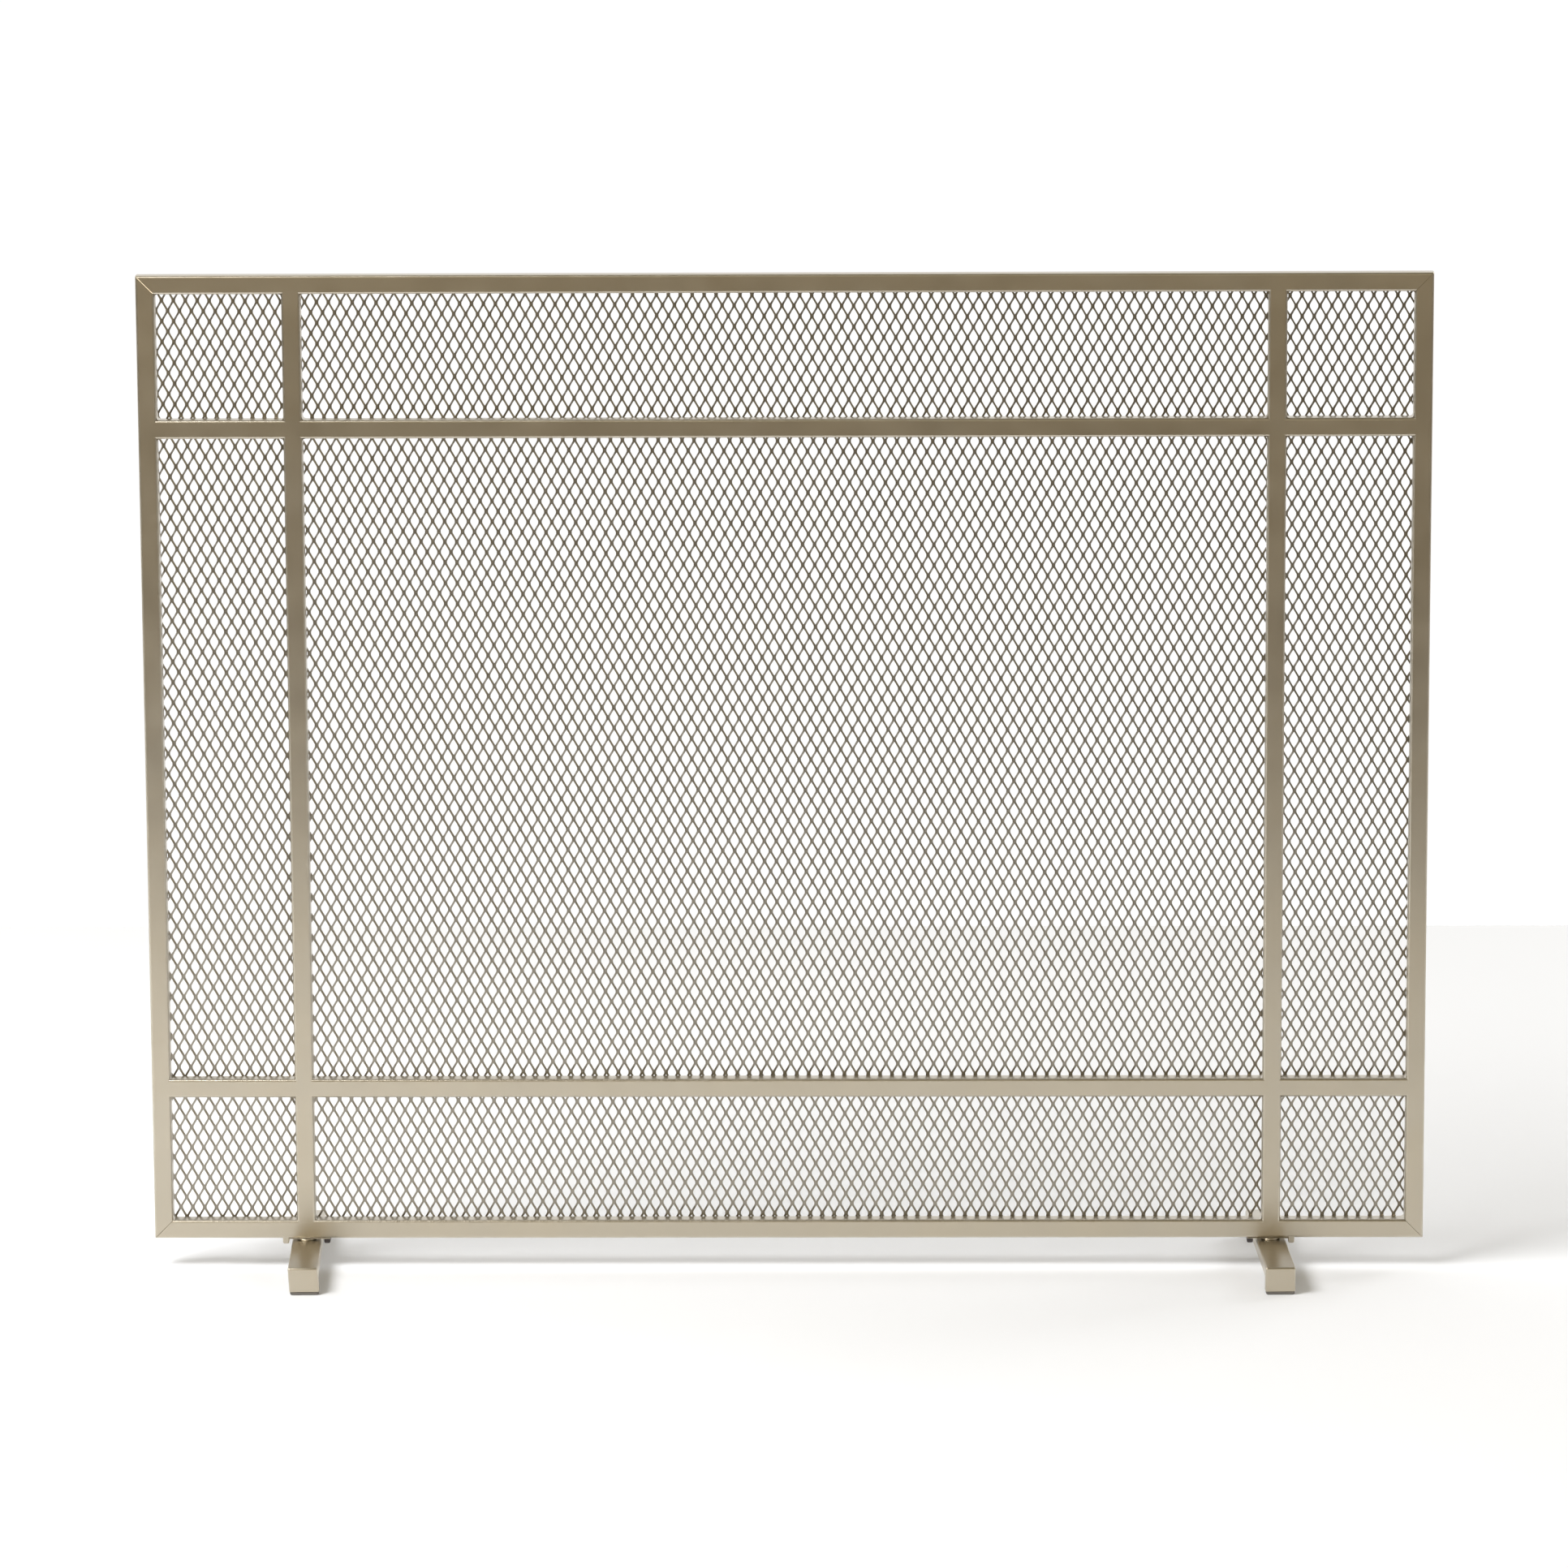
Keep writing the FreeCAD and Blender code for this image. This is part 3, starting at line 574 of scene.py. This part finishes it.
def make_pad(side, end):
    """A glide: a thin waist under the steel, then a block with a rounded lower edge."""
    node = f"{side}_{end}_pad"
    wide, deep = (PAD_HIGH.x - PAD_LOW.x) / 2, (PAD_HIGH.y - PAD_LOW.y) / 2
    middle_y = (PAD_LOW.y + PAD_HIGH.y) / 2 * (1 if end == "front" else -1)
    levels = [(PAD_HIGH.z, PAD_WAIST), (PAD_SHOULDER, PAD_WAIST), (PAD_SHOULDER, 0.0)]
    for step in range(PAD_FOOT_STEPS + 1):
        turn = math.pi / 2 * step / PAD_FOOT_STEPS
        z, inset = 1 - math.sin(turn), 1 - math.cos(turn)
        levels.append((PAD_FOOT_ROUND * z, PAD_FOOT_ROUND * inset))
    frame_of = FootFrame(side)
    shell = Shell()
    loops = []
    for z, inset in levels:
        outline = rounded_rectangle(wide - inset, deep - inset, PAD_CORNER - inset / 2)
        placed = [frame_of.place(x, middle_y + y, z) for x, y in outline]
        loops.append(shell.add_points(placed, [0.0] * len(outline)))
    count = len(outline)
    for high, low in zip(loops, loops[1:]):
        for i in range(count):
            j = (i + 1) % count
            shell.add_face((high + i, low + i, low + j, high + j))
    shell.add_face(range(loops[0], loops[0] + count))
    shell.add_face(range(loops[-1] + count - 1, loops[-1] - 1, -1))
    place_piece(shell.to_object(f"vis_{node}", PAD_RUBBER), node)


WASHER_HOLE, WASHER_STEPS, RIM_STEPS = 0.0033, 64, 6


def make_washer(side):
    """A thin disc with a rounded rim and a hole for the bolt."""
    node = f"{side}_spacer_washer"
    low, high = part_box(node)
    centre, outer, half = (low + high) / 2, (high.x - low.x) / 2, (high.z - low.z) / 2
    profile = [(WASHER_HOLE, -half), (WASHER_HOLE, half)]
    for step in range(RIM_STEPS + 1):
        turn = math.pi / 2 - math.pi * step / RIM_STEPS
        profile.append((outer - half + half * math.cos(turn), half * math.sin(turn)))
    turns = [2 * math.pi * k / WASHER_STEPS for k in range(WASHER_STEPS)]
    shell = Shell()
    loops = []
    for radius, z in profile:
        circle = [(radius * math.cos(a), radius * math.sin(a)) for a in turns]
        points = [(centre.x + x, centre.y + y, centre.z + z) for x, y in circle]
        loops.append(shell.add_points(points, [HALF_WEAR] * WASHER_STEPS))
    for a, b in zip(loops, loops[1:] + loops[:1]):
        for i in range(WASHER_STEPS):
            j = (i + 1) % WASHER_STEPS
            shell.add_face((a + i, a + j, b + j, b + i))
    place_piece(shell.to_object(f"vis_{node}", FRAME_METAL), node)


EAR, WEB, EAR_ROUND, EAR_STEPS, EAR_BEVEL = 0.0046, 0.0008, 0.0012, 4, 0.0004
INNER_SET_BACK = 0.001
# The weld beads that run the outer ear into the rail, by height, depth and place behind its face.
BEAD_TOP, BEAD_BASE, BEAD_FRONT, BEAD_REAR, BEAD_BEVEL = 0.0018, -0.0006, 0.00015, 0.002, 0.0003


def ear_outline(left, top, base):
    """Outline of a saddle's ear, rounded below, from its top left corner to its top right."""
    points = [(left, top)]
    centre_z = base + EAR_ROUND
    for centre_x, quarter in ((left + EAR_ROUND, 2), (left + EAR - EAR_ROUND, 3)):
        for step in range(EAR_STEPS + 1):
            angle = math.pi / 2 * (quarter + step / EAR_STEPS)
            x, z = EAR_ROUND * math.cos(angle), EAR_ROUND * math.sin(angle)
            points.append((centre_x + x, centre_z + z))
    return points + [(left + EAR, top)]


def mirrored(outline):
    return [(-x, z) for x, z in reversed(outline)]


def prism_along_y(shell, outline, centre_x, top, front, rear, bevel):
    """An outline in x and z drawn from front to rear, its end edges bevelled."""
    ends = [(front, bevel), (front + bevel, 0.0), (rear - bevel, 0.0), (rear, bevel)]
    count = len(outline)
    loops = []
    for y, inset in ends:
        points = []
        for k, (x, z) in enumerate(outline):
            before, after = outline[k - 1], outline[(k + 1) % count]
            one = Vector((x - before[0], z - before[1])).normalized()
            two = Vector((after[0] - x, after[1] - z)).normalized()
            inward = Vector((-one.y - two.y, one.x + two.x)) / (1 + one.dot(two))
            points.append((centre_x + x + inward.x * inset, y, top + z + inward.y * inset))
        loops.append(shell.add_points(points, [HALF_WEAR] * count))
    for a, b in zip(loops, loops[1:]):
        for i in range(count):
            j = (i + 1) % count
            shell.add_face((a + i, a + j, b + j, b + i))
    shell.add_face(range(loops[0] + count - 1, loops[0] - 1, -1))
    shell.add_face(range(loops[-1], loops[-1] + count))


def make_saddle(side):
    """A saddle: its web and outer ear, sprayed and run into the rail, and its inner ear in painted
    shade.
    """
    node = f"{side}_saddle"
    low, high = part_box(node)
    centre, half, drop = (low.x + high.x) / 2, (high.x - low.x) / 2, high.z - low.z
    body = ear_outline(-half, 0.0, -drop)[:-1] + [(-half + EAR, -WEB), (half, -WEB), (half, 0.0)]
    edge = -half + EAR
    bead = [(-half, BEAD_TOP), (-half, BEAD_BASE), (edge, BEAD_BASE), (edge, BEAD_TOP)]
    inner = ear_outline(half - EAR, -WEB, -drop)
    if side == "right":
        body, bead, inner = mirrored(body), mirrored(bead), mirrored(inner)
    front, rear = TUBE / 2 - BEAD_FRONT, TUBE / 2 - BEAD_REAR
    shell = Shell()
    prism_along_y(shell, body, centre, high.z, low.y, high.y, EAR_BEVEL)
    prism_along_y(shell, bead, centre, high.z, -front, -rear, BEAD_BEVEL)
    prism_along_y(shell, bead, centre, high.z, rear, front, BEAD_BEVEL)
    place_piece(shell.to_object(f"vis_{node}", FRAME_METAL), node)
    # the inner ear is painted near-black as painted shade
    front, rear = low.y + INNER_SET_BACK, high.y - INNER_SET_BACK
    shell = Shell()
    prism_along_y(shell, inner, centre, high.z, front, rear, EAR_BEVEL)
    place_piece(shell.to_object(f"vis_{node}_inner_ear", INNER_EAR_PAINTED_SHADE), node)


def finish_hidden_hardware(side):
    """The bolt and its insert keep their CAD shapes, in plated steel."""
    for node in (f"{side}_threaded_insert", f"{side}_foot_bolt"):
        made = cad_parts[node]
        made.data.materials.clear()
        made.data.materials.append(PLATED_STEEL)


def build_feet():
    for side in ("left", "right"):
        make_foot(side)
        make_pad(side, "front")
        make_pad(side, "rear")
        make_washer(side)
        make_saddle(side)
        finish_hidden_hardware(side)


# ---- studio --------------------------------------------------------------------------------
FLOOR_HALF, FLOOR_FRONT, FLOOR_BACK = 5.0, -1.4, 1.25
PAPER, PAPER_ROUGHNESS = (0.85, 0.862, 0.89, 1), 0.9


def build_floor():
    paper, shader = new_material("studio_paper")
    shader.inputs["Base Color"].default_value = PAPER
    shader.inputs["Roughness"].default_value = PAPER_ROUGHNESS
    corners = [
        (-FLOOR_HALF, FLOOR_FRONT, 0.0),
        (FLOOR_HALF, FLOOR_FRONT, 0.0),
        (FLOOR_HALF, FLOOR_BACK, 0.0),
        (-FLOOR_HALF, FLOOR_BACK, 0.0),
    ]
    mesh = bpy.data.meshes.new("floor")
    mesh.from_pydata(corners, [], [(0, 1, 2, 3)])
    mesh.materials.append(paper)
    link_new("floor", mesh)


WHITE_LIGHT, WARM_LIGHT = (1, 1, 1), (1.0, 0.88, 0.66)
SCREEN = (1.03, 1.03, 1.03, 1)
SCREEN_EDGE, SCREEN_FULL = (0.36, (0, 0, 0, 1)), (0.44, (1, 1, 1, 1))
ROOM_LOW = (0.0, (0.14, 0.11, 0.07, 1))
ROOM_HIGH = (0.10, (0.25, 0.218, 0.148, 1))


def softbox(name, at, aim, size, power, colour=WHITE_LIGHT):
    """A rectangular light at a place, turned to face another."""
    data = bpy.data.lights.new(name, "AREA")
    data.shape = "RECTANGLE"
    data.size, data.size_y = size
    data.energy = power
    data.color = colour
    made = link_new(name, data)
    made.location = at
    made.rotation_euler = (Vector(aim) - Vector(at)).to_track_quat("-Z", "Y").to_euler()
    made.visible_camera = False


def build_lights():
    softbox("key", (-1.6, -1.2, 2.4), (-0.2, -0.6, 0.0), (1.6, 1.2), 90)
    softbox("fill", (2.6, -1.2, 1.5), (0.0, -0.8, 0.1), (2.0, 1.6), 10)
    softbox("left_wash", (-2.8, 2.0, 1.7), (-0.3, 1.3, 0.0), (1.6, 1.6), 28)
    softbox("right_wash", (2.8, 2.2, 1.7), (0.9, 1.5, 0.0), (1.6, 1.6), 42)
    softbox("front_left", (-1.4, -6.4, 1.25), (-0.2, 0.0, 0.1), (2.2, 1.1), 12, WARM_LIGHT)
    softbox("front_right", (1.4, -6.4, 1.25), (0.2, 0.0, 0.1), (2.2, 1.1), 11, WARM_LIGHT)
    build_room()


def build_room():
    """Light from all round: a dim warm room, and a wide white screen beyond the floor.

    The room only lights the object and shows in its reflections; the background itself is plain
    white from every side.
    """
    world = bpy.data.worlds.new("room")
    world.use_nodes = True
    nodes, links = world.node_tree.nodes, world.node_tree.links
    place = nodes.new("ShaderNodeTexCoord")
    direction = nodes.new("ShaderNodeSeparateXYZ")
    links.new(place.outputs["Generated"], direction.inputs[0])

    def ramp(axis, low, high):
        """A colour that changes between two stops, each (value, colour), along an axis."""
        node = nodes.new("ShaderNodeValToRGB")
        links.new(direction.outputs[axis], node.inputs["Fac"])
        for stop, (value, colour) in zip(node.color_ramp.elements, (low, high)):
            stop.position, stop.color = value, colour
        return node.outputs["Color"]

    blend = nodes.new("ShaderNodeMix")
    blend.data_type = "RGBA"
    links.new(ramp("Y", SCREEN_EDGE, SCREEN_FULL), blend.inputs[0])
    links.new(ramp("Z", ROOM_LOW, ROOM_HIGH), blend.inputs[6])
    blend.inputs[7].default_value = SCREEN
    seen = nodes.new("ShaderNodeMix")
    seen.data_type = "RGBA"
    links.new(nodes.new("ShaderNodeLightPath").outputs["Is Camera Ray"], seen.inputs[0])
    links.new(blend.outputs[2], seen.inputs[6])
    seen.inputs[7].default_value = SCREEN
    links.new(seen.outputs[2], nodes["Background"].inputs["Color"])
    bpy.context.scene.world = world


# ---- camera --------------------------------------------------------------------------------
CAMERA_AT = Vector((0.084, -5.403, 1.404))
YAW, PITCH, ROLL = (math.radians(a) for a in (0.908, 10.797, -0.266))
LENS, SENSOR = 167.7, 36.0
CLIP_NEAR, CLIP_FAR = 0.1, 60.0


def build_camera():
    """The photograph's camera, fitted to the frame's edges in it."""
    data = bpy.data.cameras.new("camera")
    data.lens, data.sensor_width = LENS, SENSOR
    data.clip_start, data.clip_end = CLIP_NEAR, CLIP_FAR
    made = link_new("camera", data)
    level = Vector((math.cos(YAW), math.sin(YAW), 0))
    reach, drop = math.cos(PITCH), math.sin(PITCH)
    ahead = Vector((-math.sin(YAW) * reach, math.cos(YAW) * reach, -drop))
    head = level.cross(ahead)
    right = level * math.cos(ROLL) + head * math.sin(ROLL)
    up = head * math.cos(ROLL) - level * math.sin(ROLL)
    turn = Matrix((right, up, -ahead)).transposed()
    made.matrix_world = Matrix.Translation(CAMERA_AT) @ turn.to_4x4()
    bpy.context.scene.camera = made


build_frame()
build_sheet()
build_fillets()
build_feet()
build_floor()
build_lights()
build_camera()
bpy.context.scene.view_settings.view_transform = "Standard"
